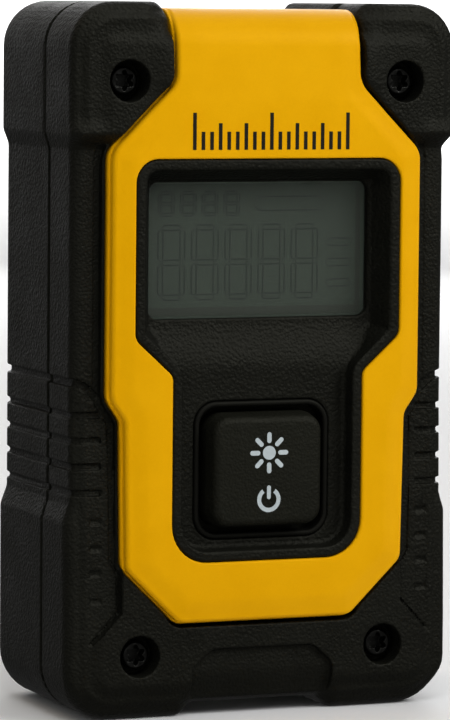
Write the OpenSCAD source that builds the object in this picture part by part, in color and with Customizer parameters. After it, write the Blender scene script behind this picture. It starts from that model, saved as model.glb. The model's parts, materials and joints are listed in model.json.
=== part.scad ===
// Pocket laser distance meter, built from separate solids.
// Frame: +Z up along the case, front face towards -Y, origin under the middle of the base.

/* [Case] */
// Height of the case over its bumpers
case_h = 76; // [74:0.5:80]
// Half width of the case at its waist
waist_x = 21.55; // [21.2:0.05:21.8]
// Half width over the bottom bumper
bumper_x = 22.2; // [22:0.05:22.6]
// Y of the flat back face
back_y = 12.5; // [12.5:0.1:14]
// Y of the seam between the two shells
seam_y = -2.9; // [-3.2:0.1:-2.6]
// Y of the flat front of the side bars
bar_y = -9.9; // [-10.1:0.05:-9.7]
// Y of the top bumpers' front
top_bumper_y = -11.7; // [-11.9:0.05:-11.5]
// Y of the bottom bumper's front
low_bumper_y = -11.3; // [-11.5:0.05:-11.1]
// Wall thickness of both shells
wall = 1.85; // [1.6:0.05:2.1]
// Corner radius seen from the front
corner_r = 5; // [4.5:0.1:5.5]
// Rounding of the back edges
back_r = 3.3; // [2.5:0.1:3.6]

/* [Coloured cover] */
// Y of the raised face of the cover
cover_y = -12.3; // [-12.4:0.05:-12.1]
// Y of the narrow ledge round the cover
ledge_y = -10.75; // [-10.9:0.05:-10.6]
// Y of the seat under the cover
seat_y = -9.4; // [-9.5:0.05:-9.3]
// Width of the ledge
ledge_w = 0.25; // [0.2:0.05:0.4]
// Gap between the cover and the black case
cover_gap = 0.12; // [0.1:0.01:0.15]
// Width of the ridge that frames the cover beside the bars
ridge_w = 0.35; // [0.3:0.05:0.5]
// Y of the front of that ridge
ridge_y = -10.5; // [-10.6:0.05:-10.3]
// Height of the cover's top edge
cover_top = 75.3; // [75:0.1:75.5]

/* [Display] */
// Half width of the display window
lcd_x = 12.45; // [12:0.05:12.8]
// Lower edge of the display window
lcd_z0 = 42.65; // [42.4:0.05:43]
// Upper edge of the display window
lcd_z1 = 56.8; // [56.5:0.05:57]
// Y of the front of the display window
lcd_y = -8.9; // [-9:0.05:-8.8]

/* [Button] */
// Half width of the button cap
cap_x = 6.5; // [6.2:0.05:6.7]
// Half height of the button cap
cap_z = 6.15; // [6:0.05:6.3]
// Height of the button's middle
button_z = 26.35; // [26:0.05:26.6]
// Y of the front of the cap, the foremost face of the meter
cap_y = -12.5; // [-12.6:0.05:-12.4]
// Half width of the well round the button
well_x = 7.8; // [7.6:0.05:8]
// Half height of the well round the button
well_z = 7.4; // [7.2:0.05:7.6]

/* [Charging port] */
// Height of the port's middle
port_z = 51.75; // [50:0.25:53]
// Y of the port's middle
port_y = 0.2; // [0.1:0.05:0.3]
// Height of the hinged port cover
flap_h = 11.5; // [11:0.1:12]

/* [Screws] */
// Half spacing of the top case screws
top_screw_x = 15.85; // [15.7:0.05:16]
// Height of the top case screws
top_screw_z = 67.7; // [67.5:0.1:67.9]
// Half spacing of the bottom case screws
low_screw_x = 14.1; // [14:0.05:14.3]
// Height of the bottom case screws
low_screw_z = 6.9; // [6.8:0.1:7.1]
// Diameter of the screw head
screw_head_d = 3; // [2.8:0.1:3.2]
// Diameter of the counterbore over each screw
counterbore_d = 4.5; // [4.3:0.1:4.7]

/* [Electronics] */
// Y of the front of the main board
board_y = -2.2; // [-2.3:0.05:-2.1]
// Thickness of the main board
board_t = 1; // [0.8:0.1:1]

/* [Hidden] */
$fn = 48;

black = [0.13, 0.13, 0.12];
yellow = [0.93, 0.67, 0.06];
steel = [0.55, 0.56, 0.58];
green = [0.10, 0.33, 0.20];
clear = [0.75, 0.85, 0.88, 0.5];

gap = 0.1;
top_x = bumper_x - 0.1;
seam_gap = 0.25;
front_seam = seam_y - seam_gap;
rear_seam = seam_y + seam_gap;
front_wall_y = seat_y + 1.8;
board_back = board_y + board_t;

// Heights at which the bumpers slope into the waist
top_step_z = 61.5;
low_step_z = 22.3;
// Half widths of the channels between the bumpers
top_channel_x = 10.9;
low_channel_x = 8;
channel_top = 75.2;
channel_low = 1.3;

// Side grip: one wide groove and four narrow notches under it
groove_z = 36.05;
notch_z = 32.6;
notch_step = 2.75;
notch_count = 4;
notch_depth = 0.28;

// Turn of the cover over the top end: the raised face, the ledge and the inside
wrap_out_r = 4.2;
wrap_ledge_r = 3.6;
wrap_in_r = 4.5;
wrap_in_top = 73.8;
wrap_z = wrap_in_top - wrap_in_r;

cavity_x = waist_x - wall;
cavity_z0 = 2.9;
cavity_z1 = 72.4;
cavity_r = 3.2;

head_y = -10;
head_h = 1.6;
shank_d = 2;
screw_end = 6;

lens_y = 4.4;
lens_x = 3.7;
lens_r = 4.2;
laser_x = -6.2;
barrel_r = 2.8;
block_z0 = 58.2;
block_z1 = 71.8;

hinge_x = waist_x - 0.8;
hinge_y = 4.4;
roll_r = 0.75;
pin_r = 0.3;
flap_z0 = port_z - flap_h / 2;
flap_front = -1.5;
stem_end = -5.9;

case_screws = [[-top_screw_x, top_screw_z], [top_screw_x, top_screw_z],
    [-low_screw_x, low_screw_z], [low_screw_x, low_screw_z]];
board_posts = [[-13.2, 62.5], [13.2, 62.5], [-9, 13.4], [9, 13.4]];
block_screws = [[-9.4, 61.5], [9.4, 61.5]];

// ---------- helpers ----------

// Extrudes an X-Z outline between two Y planes
module slab(y0, y1) {
    translate([0, y1, 0]) rotate([90, 0, 0]) linear_extrude(y1 - y0) children();
}

// Rounded rectangle in the X-Z outline plane
module rrect(x0, x1, z0, z1, r) {
    translate([x0 + r, z0]) square([x1 - x0 - 2 * r, z1 - z0]);
    translate([x0, z0 + r]) square([x1 - x0, z1 - z0 - 2 * r]);
    for (x = [x0 + r, x1 - r], z = [z0 + r, z1 - r]) translate([x, z]) circle(r);
}

module box(x0, x1, y0, y1, z0, z1) {
    translate([x0, y0, z0]) cube([x1 - x0, y1 - y0, z1 - z0]);
}

// Cylinder along Y between two planes
module ycyl(x, z, r, y0, y1) {
    translate([x, y1, z]) rotate([90, 0, 0]) cylinder(r = r, h = y1 - y0);
}

module zcyl(x, y, r, z0, z1) {
    translate([x, y, z0]) cylinder(r = r, h = z1 - z0);
}

module mirrored() {
    children();
    mirror([1, 0, 0]) children();
}

// Outline of the case with its waist, bumpers and end channels
module case_outline() {
    difference() {
        union() {
            rrect(-waist_x, waist_x, 0, case_h, corner_r);
            rrect(-bumper_x, bumper_x, 0, low_step_z, corner_r);
            rrect(-top_x, top_x, top_step_z - corner_r, case_h, corner_r);
        }
        translate([-top_channel_x, channel_top]) square([2 * top_channel_x, 2]);
        translate([-low_channel_x, -1]) square([2 * low_channel_x, 1 + channel_low]);
        for (s = [-1, 1]) translate([s * (waist_x + 1), (top_step_z + low_step_z) / 2])
            square([2, top_step_z - low_step_z], center = true);
    }
}

// Outline of the coloured cover, half of it; the top runs off past the case
cover_half = [[0, 10.15], [9.3, 10.15], [10.6, 10.9], [15.6, 15.5], [16.35, 17.3], [16.4, 31.7],
    [17.6, 33.7], [17.95, 35.5], [17.95, 59], [17.5, 60.8], [11.4, 67], [10.8, 68.5],
    [10.8, cover_top + 1], [0, cover_top + 1]];
module cover_outline() mirrored() polygon(cover_half);

// Outline of the opening in the cover, half of it
opening_half = [[0, 16.75], [7, 16.75], [9.8, 17.9], [10.95, 20.8], [10.95, 36.2], [11.5, 37.3],
    [14.6, 40], [15.25, 41.5], [15.25, 57.4], [14.5, 58.9], [12.9, 59.55], [0, 59.55]];
module opening_outline() mirrored() polygon(opening_half);

module lcd_outline(grow) {
    rrect(-lcd_x - grow, lcd_x + grow, lcd_z0 - grow, lcd_z1 + grow, 0.6);
}

module button_outline(x, z, r) {
    rrect(-x, x, button_z - z, button_z + z, r);
}

module case_cavity(y0, y1, top) {
    slab(y0, y1) rrect(-cavity_x, cavity_x, cavity_z0, top, cavity_r);
}

// Horizontal grip cuts on the outside of both shells
module grip_cuts(y0, y1) {
    mirrored() {
        box(waist_x - 0.6, waist_x + 1, y0, y1, groove_z - 0.5, groove_z + 0.5);
        for (i = [0 : notch_count - 1])
            box(waist_x - notch_depth, waist_x + 1, y0, y1,
                notch_z - i * notch_step - 0.35, notch_z - i * notch_step + 0.35);
    }
}

// ---------- shells ----------

module front_housing() {
    color(black) difference() {
        union() {
            difference() {
                union() {
                    slab(bar_y, front_seam) case_outline();
                    slab(top_bumper_y, bar_y) intersection() {
                        case_outline();
                        translate([-30, top_step_z]) square([60, 20]);
                    }
                    slab(low_bumper_y, bar_y) intersection() {
                        case_outline();
                        translate([-30, 0]) square([60, 16]);
                    }
                    // Ridge beside the cover
                    slab(ridge_y, bar_y) intersection() {
                        offset(delta = cover_gap + ridge_w) cover_outline();
                        translate([-30, 17]) square([60, 44.5]);
                    }
                }
                case_cavity(front_wall_y, front_seam + 1, wrap_in_top - 1.8);
                slab(cap_y - 1, seat_y) offset(delta = cover_gap) cover_outline();
                // Room for the flange of the cover
                difference() {
                    box(-11, 11, cap_y, seam_y, wrap_z, case_h + 1);
                    wrap_profile(seat_y + 0.05, wrap_in_top - 0.05, wrap_in_r);
                }
                // Lower panel beside the cover
                mirrored() slab(low_bumper_y - 1, bar_y) polygon([[16.2, 11.8], [16.9, 10.8],
                    [19.1, 8.6], [24, 8.6], [24, 17], [16.2, 17]]);
                // Shallow step in the middle of the bottom bumper
                slab(low_bumper_y - 1, low_bumper_y + 0.5) mirrored()
                    polygon([[0, -1], [8, -1], [8, 5.2], [6, 7.3], [0, 7.3]]);
                slab(cap_y - 1, front_wall_y + 1) offset(delta = 0.9) opening_outline();
                grip_cuts(cap_y, seam_y);
            }
            for (p = case_screws) ycyl(p[0], p[1], 3.1, seat_y, front_seam);
            for (p = board_posts) ycyl(p[0], p[1], 1.7, front_wall_y - 0.5, board_y);
        }
        for (p = case_screws) {
            ycyl(p[0], p[1], counterbore_d / 2, cap_y, head_y + head_h);
            ycyl(p[0], p[1], shank_d / 2 + gap, head_y, seam_y + 1);
        }
        for (p = board_posts) ycyl(p[0], p[1], 0.82, -6.5, board_y + 1);
        // Groove for the gasket
        slab(front_seam - 0.5, seam_y) gasket_outline(0.05);
    }
}

module gasket_outline(grow) {
    difference() {
        rrect(-20.6 - grow, 20.6 + grow, 1.95 - grow, 73.45 + grow, 4.1 + grow);
        rrect(-20.05 + grow, 20.05 - grow, 2.5 + grow, 72.9 - grow, 3.6 - grow);
    }
}

module housing_gasket() {
    color([0.25, 0.25, 0.25]) slab(front_seam - 0.45, rear_seam + 0.45) gasket_outline(0);
}

// Blank of the rear shell: the case outline with its back edges rounded
module rear_blank() {
    intersection() {
        slab(rear_seam, back_y) case_outline();
        hull() for (a = [0, 30, 60, 90]) {
            i = back_r * (1 - cos(a));
            slab(rear_seam, back_y - back_r + back_r * sin(a))
                rrect(-bumper_x + i, bumper_x - i, i, case_h - i, corner_r - i, $fn = 32);
        }
    }
}

module rear_housing() {
    color(black) difference() {
        union() {
            difference() {
                rear_blank();
                case_cavity(rear_seam - 1, back_y - 1.8, cavity_z1);
                grip_cuts(seam_y, back_y + 1);
            }
            for (p = case_screws) ycyl(p[0], p[1], 2.6, rear_seam, back_y - 1.5);
            // Thick wall round the charging port
            box(18.3, waist_x - 0.5, -2, 6.8, flap_z0 - 1.8, flap_z0 + flap_h + 1.8);
        }
        for (p = case_screws) ycyl(p[0], p[1], shank_d / 2 + 0.02, seam_y - 1, screw_end + 1);
        slab(seam_y, rear_seam + 0.5) gasket_outline(0.05);
        // Port pocket, hinge recess, socket mouth and hinge pin holes
        box(hinge_x - 0.75, waist_x + 1, flap_front - 0.3, 3.4, flap_z0 - 0.3, flap_z0 + flap_h + 0.3);
        box(hinge_x - 1.05, waist_x + 1, 3.3, 5.75, flap_z0 - 0.3, flap_z0 + flap_h + 0.3);
        box(15, waist_x, port_y - 1.5, port_y + 1.5, port_z - 4, port_z + 4);
        zcyl(hinge_x, hinge_y, pin_r + 0.01, flap_z0 - 1.3, flap_z0 + flap_h + 1.3);
        // Opening and seat for the optics bezel in the top wall
        box(-8.8, 8.8, -0.9, 8.5, cavity_z1 - 1, case_h + 1);
        box(-9.7, 9.7, -1.6, 9.1, 74.2, case_h + 1);
        // Seat for the rating plate
        slab(back_y - 0.3, back_y + 1) rrect(-12.1, 12.1, 23.9, 50.1, 1.1);
    }
}

// Y-Z side profile that is flat in front and turns back over the top by a radius, kept for all X
module wrap_profile(front_y, top_z, r) {
    translate([-30, 0, 0]) rotate([90, 0, 90]) linear_extrude(60) {
        translate([front_y + r, top_z - r]) circle(r);
        translate([front_y, 5]) square([9, top_z - r - 5]);
        translate([front_y + r, 5]) square([9, top_z - 5]);
    }
}

module front_cover() {
    color(yellow) difference() {
        union() {
            intersection() {
                slab(cover_y, seat_y) offset(delta = -ledge_w) cover_outline();
                wrap_profile(cover_y, cover_top, wrap_out_r);
            }
            intersection() {
                slab(ledge_y, seat_y) cover_outline();
                wrap_profile(ledge_y, cover_top, wrap_ledge_r);
            }
            // Flange that turns back over the top end
            intersection() {
                box(-10.8, 10.8, cover_y, front_seam, wrap_z, case_h);
                wrap_profile(ledge_y, cover_top, wrap_ledge_r);
            }
        }
        wrap_profile(seat_y, wrap_in_top, wrap_in_r);
        slab(cap_y - 1, seat_y + 1) opening_outline();
    }
}

// ---------- display and button ----------

module display_bezel() {
    floor_y = -10.3;
    back = front_wall_y - 0.7;
    color([0.16, 0.16, 0.15]) difference() {
        union() {
            slab(cover_y + 0.1, back) offset(delta = -0.05) opening_outline();
            slab(seat_y, back) offset(delta = 0.8) opening_outline();
        }
        slab(cap_y - 1, floor_y) offset(delta = -1.1) opening_outline();
        slab(cap_y - 1, lcd_y - 0.3) rrect(-13.4, 13.4, lcd_z0 - 0.6, 57.9, 1);
        slab(cap_y - 1, back + 1) lcd_outline(0.05);
        slab(cap_y - 1, back + 1) button_outline(well_x, well_z, 2.6);
    }
}

module lcd_window() {
    color(clear) slab(lcd_y, lcd_y + 0.8) lcd_outline(0);
}

module lcd_panel() {
    color([0.45, 0.50, 0.45])
        slab(lcd_y + 0.85, -6.2) rrect(-13, 13, lcd_z0 - 0.8, lcd_z1 + 0.8, 0.3);
}

module lcd_frame() {
    color([0.85, 0.85, 0.82]) difference() {
        slab(-8, board_y) rrect(-14.3, 14.3, 41, 58.6, 0.6);
        slab(-9, -6.2) rrect(-13.1, 13.1, lcd_z0 - 0.9, lcd_z1 + 0.9, 0.3);
        slab(-7, board_y + 1) rrect(-12.4, 12.4, 42, 57.5, 0.3);
    }
}

module lcd_connectors() {
    color([0.7, 0.25, 0.35]) for (z = [42.1, 55.9]) box(-12, 12, -6.2, board_y, z, z + 1.5);
}

module measure_button() {
    color(black) {
        slab(cap_y + 0.7, -8.1) button_outline(cap_x, cap_z, 2.1);
        slab(cap_y, cap_y + 0.7) button_outline(cap_x - 0.35, cap_z - 0.35, 1.9);
        slab(-8.1, -7.3) button_outline(well_x + 0.9, well_z + 0.6, 2.6);
        ycyl(0, button_z, 1.3, -7.4, stem_end);
    }
}

// Rubber bead that lines the well round the cap
module button_seal() {
    color([0.1, 0.1, 0.1]) difference() {
        slab(-10.6, -8.4) button_outline(well_x - 0.05, well_z - 0.05, 2.55);
        slab(-11, -8) button_outline(well_x - 0.65, well_z - 0.65, 1.95);
    }
}

module switch_body() {
    color([0.2, 0.2, 0.2]) difference() {
        box(-3, 3, board_y - 2.8, board_y, button_z - 3, button_z + 3);
        ycyl(0, button_z, 1.06, board_y - 4, board_y - 0.2);
    }
}

module switch_plunger() {
    color([0.9, 0.9, 0.85]) ycyl(0, button_z, 1, stem_end + 0.05, board_y - 1);
}

// ---------- electronics ----------

module main_board() {
    color(green) difference() {
        slab(board_y, board_back) rrect(-17.8, 17.8, 10.2, 63.8, 1);
        for (p = board_posts) ycyl(p[0], p[1], 0.9, -5, 2);
        for (p = block_screws) ycyl(p[0], p[1], 0.9, -5, 2);
    }
}

module pan_screw(x, z, head0, head1, tip) {
    ycyl(x, z, 1.4, min(head0, head1), max(head0, head1));
    ycyl(x, z, 0.8, min(head1, tip), max(head1, tip));
}

module board_screws() {
    color(steel) for (p = board_posts) pan_screw(p[0], p[1], board_back + 0.9, board_back, -6);
}

module optics_screws() {
    color(steel) for (p = block_screws) pan_screw(p[0], p[1], board_y - 0.9, board_y, 2.2);
}

module processor_chip() {
    color([0.1, 0.1, 0.1]) box(-4.5, 4.5, board_back, board_back + 1.1, 33, 42);
}

module flex_connector() {
    color([0.9, 0.9, 0.86]) box(-4.6, 4.6, board_back, board_back + 0.9, 46.5, 48.9);
}

module buzzer() {
    color([0.15, 0.15, 0.15]) difference() {
        ycyl(0, 22, 4.6, board_back, board_back + 2.8);
        ycyl(0, 22, 0.6, board_back + 1.8, 5);
    }
}

module battery_cell() {
    color([0.35, 0.55, 0.75]) slab(2.6, 9.2) rrect(-14, 14, 11, 49.5, 1.2);
}

module battery_pad() {
    color([0.3, 0.3, 0.3]) slab(9.2, back_y - 1.8) rrect(-11, 11, 14, 46, 1);
}

module battery_lead(x) {
    zcyl(x, 5, 0.45, 49.5, 52.5);
    translate([x, 5, 52.5]) sphere(0.45);
    ycyl(x, 52.5, 0.45, 1.3, 5);
}

module battery_lead_positive() {
    color([0.75, 0.08, 0.06]) battery_lead(-8.5);
}

module battery_lead_negative() {
    color([0.05, 0.05, 0.05]) battery_lead(-11.5);
}

module battery_plug() {
    color([0.92, 0.92, 0.88]) box(-13, -7, board_back, 1.3, 51, 54);
}

// ---------- charging port ----------

module usb_socket() {
    color(steel) difference() {
        box(15.4, 20, port_y - 1.4, port_y + 1.4, port_z - 3.8, port_z + 3.8);
        box(16.2, 21, port_y - 1.1, port_y + 1.1, port_z - 3.5, port_z + 3.5);
    }
}

module usb_tongue() {
    color([0.1, 0.1, 0.1]) box(16.2, 18.6, port_y - 0.75, port_y - 0.15, port_z - 2.6, port_z + 2.6);
}

module port_cover() {
    color(black) difference() {
        union() {
            box(hinge_x - 0.45, waist_x - 0.05, flap_front, hinge_y, flap_z0, flap_z0 + flap_h);
            zcyl(hinge_x, hinge_y, roll_r, flap_z0, flap_z0 + flap_h);
            // Short plug that closes the socket's mouth
            box(19.1, hinge_x, port_y - 0.8, port_y + 0.75, port_z - 3, port_z + 3);
        }
        zcyl(hinge_x, hinge_y, pin_r + 0.04, flap_z0 - 1, flap_z0 + flap_h + 1);
    }
}

module cover_pin() {
    color(steel) zcyl(hinge_x, hinge_y, pin_r, flap_z0 - 1.2, flap_z0 + flap_h + 1.2);
}

// ---------- optics ----------

module optics_block() {
    color([0.3, 0.3, 0.32]) difference() {
        slab(board_back, 9.4) rrect(-10.6, 10.6, block_z0, block_z1, 0.8);
        zcyl(lens_x, lens_y, lens_r + 0.03, 66, block_z1 + 1);
        translate([lens_x, lens_y, block_z0 - 0.01])
            cylinder(r1 = 2, r2 = lens_r - 0.5, h = 66.02 - block_z0);
        zcyl(laser_x, lens_y, barrel_r + 0.02, block_z0 - 1, block_z1 + 1);
        for (p = block_screws) ycyl(p[0], p[1], 0.82, -2, 2.3);
    }
}

module laser_barrel() {
    color([0.78, 0.62, 0.25]) difference() {
        zcyl(laser_x, lens_y, barrel_r, block_z0 + 1.4, block_z1 - 0.2);
        zcyl(laser_x, lens_y, 2.2, block_z0, block_z1);
    }
}

module laser_diode() {
    color(steel) {
        zcyl(laser_x, lens_y, 2.6, block_z0 + 0.1, block_z0 + 1.3);
        zcyl(laser_x, lens_y, 1.7, block_z0 + 1.3, block_z0 + 3.4);
    }
}

// Plano-convex lens with its round side up
module lens(x, r, z0, edge, bulge) {
    cap_r = (r * r + bulge * bulge) / (2 * bulge);
    zcyl(x, lens_y, r, z0, z0 + edge);
    intersection() {
        translate([x, lens_y, z0 + edge + bulge - cap_r]) sphere(cap_r, $fn = 96);
        zcyl(x, lens_y, r, z0 + edge - 0.2, z0 + edge + 2 * bulge);
    }
}

module collimator_lens() {
    color(clear) lens(laser_x, 2.17, 67.6, 1.2, 0.5);
}

module receiver_lens() {
    color(clear) lens(lens_x, lens_r, 68.2, 1.8, 1.2);
}

module sensor_board() {
    color(green) box(-9.5, 9.5, 0, 9, block_z0 - 1, block_z0 - 0.1);
}

module photodiode() {
    color([0.12, 0.12, 0.12]) zcyl(lens_x, lens_y, 1.6, block_z0 - 0.1, block_z0 + 1.2);
}

module flex_cable() {
    color([0.75, 0.45, 0.12]) translate([-4, 0, 0]) rotate([90, 0, 90]) linear_extrude(8)
        polygon([[-1.1, 48.9], [-0.9, 48.9], [-0.9, 56.85], [3, 56.85], [3, 57.15], [-1.1, 57.15]]);
}

module optics_bezel() {
    color(black) difference() {
        union() {
            box(-9.6, 9.6, -1.5, 9, 74.2, 75.1);
            box(-8.7, 8.7, -0.8, 8.4, 73, 74.3);
        }
        zcyl(lens_x, 3.8, 4, 72, 76);
        zcyl(laser_x, lens_y, 1.5, 72, 76);
    }
}

module optics_window() {
    color(clear) box(-8.7, 8.7, -0.8, 8.4, 72.2, 73);
}

module rating_plate() {
    color([0.6, 0.6, 0.6]) slab(back_y - 0.3, back_y - 0.05) rrect(-12, 12, 24, 50, 1);
}

module housing_screws() {
    color([0.08, 0.08, 0.08]) for (p = case_screws) difference() {
        union() {
            ycyl(p[0], p[1], screw_head_d / 2, head_y, head_y + head_h);
            ycyl(p[0], p[1], shank_d / 2, head_y + head_h, screw_end);
        }
        // Six-lobed socket
        ycyl(p[0], p[1], 0.66, head_y - 1, head_y + 0.9);
        for (a = [0 : 60 : 300])
            ycyl(p[0] + 0.68 * sin(a), p[1] + 0.68 * cos(a), 0.24, head_y - 1, head_y + 0.9);
    }
}

front_housing();
rear_housing();
front_cover();
display_bezel();
housing_gasket();
housing_screws();
lcd_window();
lcd_panel();
lcd_frame();
lcd_connectors();
main_board();
processor_chip();
flex_connector();
switch_body();
switch_plunger();
measure_button();
button_seal();
buzzer();
battery_cell();
battery_pad();
battery_lead_positive();
battery_lead_negative();
battery_plug();
usb_socket();
usb_tongue();
port_cover();
cover_pin();
optics_block();
laser_barrel();
laser_diode();
collimator_lens();
receiver_lens();
sensor_board();
photodiode();
flex_cable();
optics_screws();
board_screws();
optics_bezel();
optics_window();
rating_plate();
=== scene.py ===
"""Looks of the laser distance meter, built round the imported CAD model.

Lengths are in mm until a mesh is made.
"""

import json
import math

import bmesh
import bpy
import numpy as np
from mathutils import Matrix, Vector


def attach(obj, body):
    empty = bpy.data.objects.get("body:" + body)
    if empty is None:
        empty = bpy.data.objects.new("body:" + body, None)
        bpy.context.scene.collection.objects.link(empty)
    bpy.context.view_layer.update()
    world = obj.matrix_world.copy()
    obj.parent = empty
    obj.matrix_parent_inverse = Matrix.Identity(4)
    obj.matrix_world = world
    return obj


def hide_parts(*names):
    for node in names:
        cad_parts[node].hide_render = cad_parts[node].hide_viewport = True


MM = 0.001

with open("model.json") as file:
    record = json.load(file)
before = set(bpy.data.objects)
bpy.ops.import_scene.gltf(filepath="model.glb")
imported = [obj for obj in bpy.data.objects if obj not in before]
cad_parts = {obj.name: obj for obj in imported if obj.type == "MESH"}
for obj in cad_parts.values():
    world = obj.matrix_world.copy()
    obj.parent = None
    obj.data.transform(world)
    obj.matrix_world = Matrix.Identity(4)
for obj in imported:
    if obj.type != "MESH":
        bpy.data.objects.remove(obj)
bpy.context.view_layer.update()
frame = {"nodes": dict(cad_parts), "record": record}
nodes = frame["nodes"]

# ---------- sizes, in mm ----------

BAR_Y = -9.9
TOP_BUMPER_Y = -11.7
LOW_BUMPER_Y = -11.3
COVER_Y = -12.3
LEDGE_Y = -10.75
SEAT_Y = -9.4
FLOOR_Y = -10.3
LCD_Y = -8.9
CAP_Y = -12.46
RIDGE_Y = -10.5
FRONT_WALL_Y = -7.6
FRONT_SEAM_Y = -3.15
REAR_SEAM_Y = -2.65
BACK_Y = 12.5
COVER_TOP = 75.3
BUTTON_Z = 26.35
POWER_Z = 23.3
BURST_Z = 28.3
GROOVE_Z, GROOVE_HALF, GROOVE_DEPTH = 36.05, 0.42, 0.45
NOTCHES = (32.6, 29.9, 27.15, 24.4)
NOTCH_HALF, NOTCH_DEPTH = 0.34, 0.34
GRIP_DASHES = (21.3, 18.5, 15.8, 12.9)
SCREWS = ((-15.85, 67.7), (15.85, 67.7), (-14.1, 6.9), (14.1, 6.9))
COUNTERBORE_R, SCREW_HEAD_R, SCREW_SHANK_R = 2.2, 1.5, 1.0
PORT_Z = 51.75
PIN_X, PIN_Y = 20.75, 4.4
LENS_X, LENS_Y, LENS_R = 3.7, 3.8, 4.0
LASER_X, LASER_Y, LASER_R = -6.2, 4.4, 1.5

# Half outlines in X and Z, each corner with its radius. They run from the middle line and back to it.
CASE_CORNERS = [(0, 1.3, 0), (7.3, 1.3, 0.5), (8.7, 0, 1.2), (22.2, 0, 5.4), (22.2, 21.2, 1.2),
                (21.55, 23.2, 1.2), (21.55, 60.5, 1.5), (22.1, 62.1, 1.5), (22.1, 76, 4.9),
                (11.4, 76, 1.6), (10.95, 74, 0.3), (10.95, 73, 0), (0, 73, 0)]
REAR_CORNERS = [(0, 1.3, 0), (7.3, 1.3, 0.5), (8.7, 0, 1.2), (22.2, 0, 5.4), (22.2, 21.2, 1.2),
                (21.55, 23.2, 1.2), (21.55, 60.5, 1.5), (22.1, 62.1, 1.5), (22.1, 76, 4.9),
                (11.6, 76, 0.8), (10.9, 75.2, 0.4), (0, 75.2, 0)]
COVER_CORNERS = [(0, 10.15, 0), (10.0, 10.15, 1.8), (16.15, 16.2, 1.8), (16.4, 32.0, 1.6),
                 (17.95, 34.2, 2.2), (17.95, 60.4, 2.6), (10.8, 67.6, 2.4), (10.8, 80, 0), (0, 80, 0)]
OPENING_CORNERS = [(0, 16.75, 0), (10.95, 16.75, 4.1), (10.95, 36.7, 1.2), (15.25, 40.6, 1.5),
                   (15.25, 59.55, 2.5), (0, 59.55, 0)]
RECESS_CORNERS = [(0, 7.3, 0), (5.9, 7.3, 1.4), (8.15, 5.3, 1.4), (8.15, 2.6, 1.2), (7.3, 0.6, 0.6),
                  (7.3, -3, 0), (0, -3, 0)]
GROOVE_LINE = [(24, 36.05), (21.2, 36.05), (20.3, 35.75), (19.4, 35.1), (18.9, 34.6)]
STEP_LINE = [(17.3, 17.2), (16.35, 15.6), (16.35, 11.7), (19.3, 8.5)]


# ---------- signed distances ----------

def rounded_path(corners, step=math.radians(9)):
    """The outline's points, with each corner turned into an arc of its radius."""
    path = []
    for i, (x, z, radius) in enumerate(corners):
        here = Vector((x, z))
        if radius <= 0:
            path.append((x, z))
            continue
        back = (Vector(corners[i - 1][:2]) - here).normalized()
        ahead = (Vector(corners[i + 1][:2]) - here).normalized()
        half = back.angle(ahead) / 2
        centre = here + (back + ahead).normalized() * (radius / math.sin(half))
        start = here + back * (radius / math.tan(half)) - centre
        turn = math.pi - 2 * half
        sign = 1 if back.x * ahead.y - back.y * ahead.x < 0 else -1
        count = max(2, int(turn / step))
        for k in range(count + 1):
            a = sign * turn * k / count
            path.append((centre.x + start.x * math.cos(a) - start.y * math.sin(a),
                         centre.y + start.x * math.sin(a) + start.y * math.cos(a)))
    return path


def segment_distance(x, z, a, b):
    dx, dz = b[0] - a[0], b[1] - a[1]
    t = np.clip(((x - a[0]) * dx + (z - a[1]) * dz) / (dx * dx + dz * dz), 0, 1)
    return np.hypot(x - a[0] - t * dx, z - a[1] - t * dz)


class Outline:
    """Signed distance to an outline that is mirrored about X = 0, negative inside, kept as a fine table."""

    STEP = 0.1
    X0, X1, Z0, Z1 = -0.5, 25.0, -4.0, 81.0

    def __init__(self, corners):
        path = rounded_path(corners)
        xs = np.arange(self.X0, self.X1, self.STEP)[:, None]
        zs = np.arange(self.Z0, self.Z1, self.STEP)[None, :]
        x, z = np.abs(xs), zs
        distance = np.full((xs.size, zs.size), 1e3)
        inside = np.zeros((xs.size, zs.size), bool)
        for a, b in zip(path[:-1], path[1:]):
            distance = np.minimum(distance, segment_distance(x, z, a, b))
        for a, b in zip(path, path[1:] + path[:1]):
            if a[1] != b[1]:
                crosses = (a[1] > z) != (b[1] > z)
                inside ^= crosses & (x < (b[0] - a[0]) * (z - a[1]) / (b[1] - a[1]) + a[0])
        self.table = np.where(inside, -distance, distance)

    def __call__(self, x, z):
        u = np.clip((np.abs(x) - self.X0) / self.STEP, 0, self.table.shape[0] - 1.001)
        v = np.clip((z - self.Z0) / self.STEP, 0, self.table.shape[1] - 1.001)
        i, j = u.astype(int), v.astype(int)
        u, v = u - i, v - j
        low = self.table[i, j] * (1 - u) + self.table[i + 1, j] * u
        high = self.table[i, j + 1] * (1 - u) + self.table[i + 1, j + 1] * u
        return low * (1 - v) + high * v


def both(a, b, r):
    """Where a and b overlap, with the outer edge rounded by r."""
    return np.minimum(-r, np.maximum(a, b)) + np.hypot(np.maximum(a + r, 0), np.maximum(b + r, 0))


def cut(a, b, r):
    """a without b, with the edge rounded by r."""
    return both(a, -b, r)


def join(a, b, r):
    """a and b together, with the inner corner filled by r."""
    return -both(-a, -b, r)


def ramp(v, start, end):
    t = np.clip((v - start) / (end - start), 0, 1)
    return t * t * (3 - 2 * t)


def bell(v, middle, half_width):
    return np.exp(-((v - middle) / half_width) ** 2)


def rect(x, z, cx, cz, half_x, half_z, r):
    """Signed distance to a rectangle with rounded corners."""
    qx = np.abs(x - cx) - half_x + r
    qz = np.abs(z - cz) - half_z + r
    return np.hypot(np.maximum(qx, 0), np.maximum(qz, 0)) + np.minimum(np.maximum(qx, qz), 0) - r


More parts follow.
